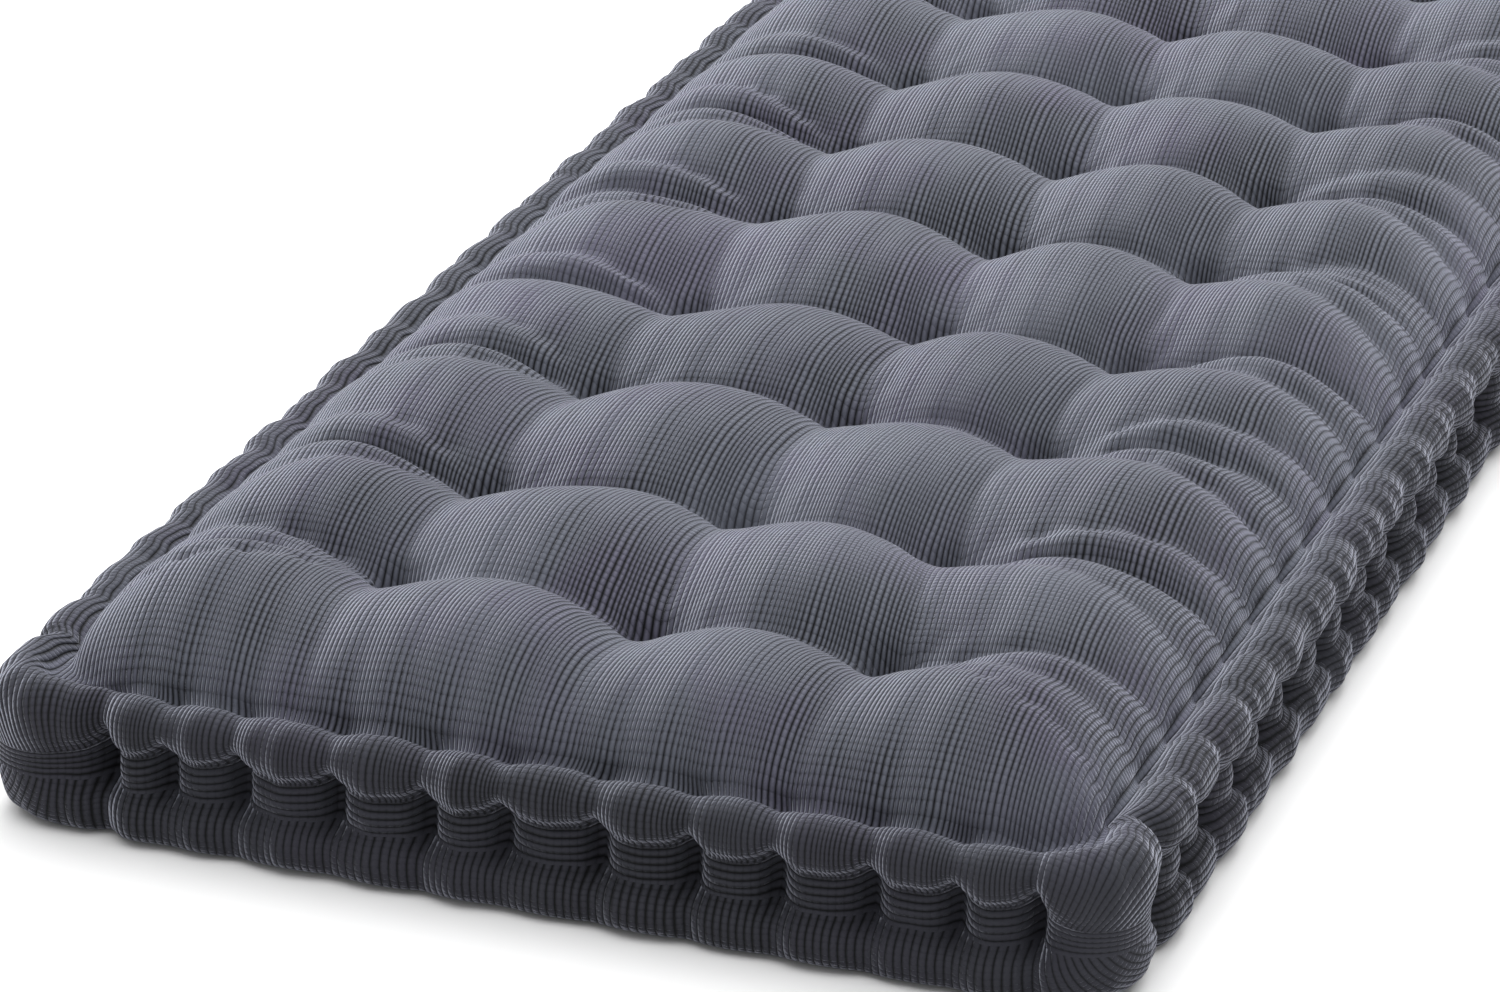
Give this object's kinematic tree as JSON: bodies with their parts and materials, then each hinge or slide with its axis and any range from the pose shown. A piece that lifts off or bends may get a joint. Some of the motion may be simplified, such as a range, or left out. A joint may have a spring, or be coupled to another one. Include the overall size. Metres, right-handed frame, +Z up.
{
  "type": "bench cushion",
  "caption": "Long filled bench cushion with a tufted, button-drawn top and a rolled, hand-stitched rim with plump corners.",
  "frame": {"origin": "middle of the flat underside", "axes": "+X across the cushion, +Y along it away from the front end, +Z up through the tufted top"},
  "size_m": [0.5, 1.2, 0.098],
  "materials": {
    "cover_corduroy": "slate blue-grey corn-kernel corduroy: soft raised ribs cut across into kernels, napped, with a pale sheen at grazing angles",
    "button_cloth": "the same corduroy drawn over a domed button"
  },
  "bodies": {
    "root": {"cushion_body": "cover_corduroy", "button_1_left": "button_cloth", "button_1_middle": "button_cloth", "button_1_right": "button_cloth", "button_2_left": "button_cloth", "button_2_middle": "button_cloth", "button_2_right": "button_cloth", "button_3_left": "button_cloth", "button_3_middle": "button_cloth", "button_3_right": "button_cloth", "button_4_left": "button_cloth", "button_4_middle": "button_cloth", "button_4_right": "button_cloth", "button_5_left": "button_cloth", "button_5_middle": "button_cloth", "button_5_right": "button_cloth", "button_6_left": "button_cloth", "button_6_middle": "button_cloth", "button_6_right": "button_cloth", "button_7_left": "button_cloth", "button_7_middle": "button_cloth", "button_7_right": "button_cloth", "button_8_left": "button_cloth", "button_8_middle": "button_cloth", "button_8_right": "button_cloth", "button_9_left": "button_cloth", "button_9_middle": "button_cloth", "button_9_right": "button_cloth", "button_10_left": "button_cloth", "button_10_middle": "button_cloth", "button_10_right": "button_cloth"}
  },
  "joints": []
}
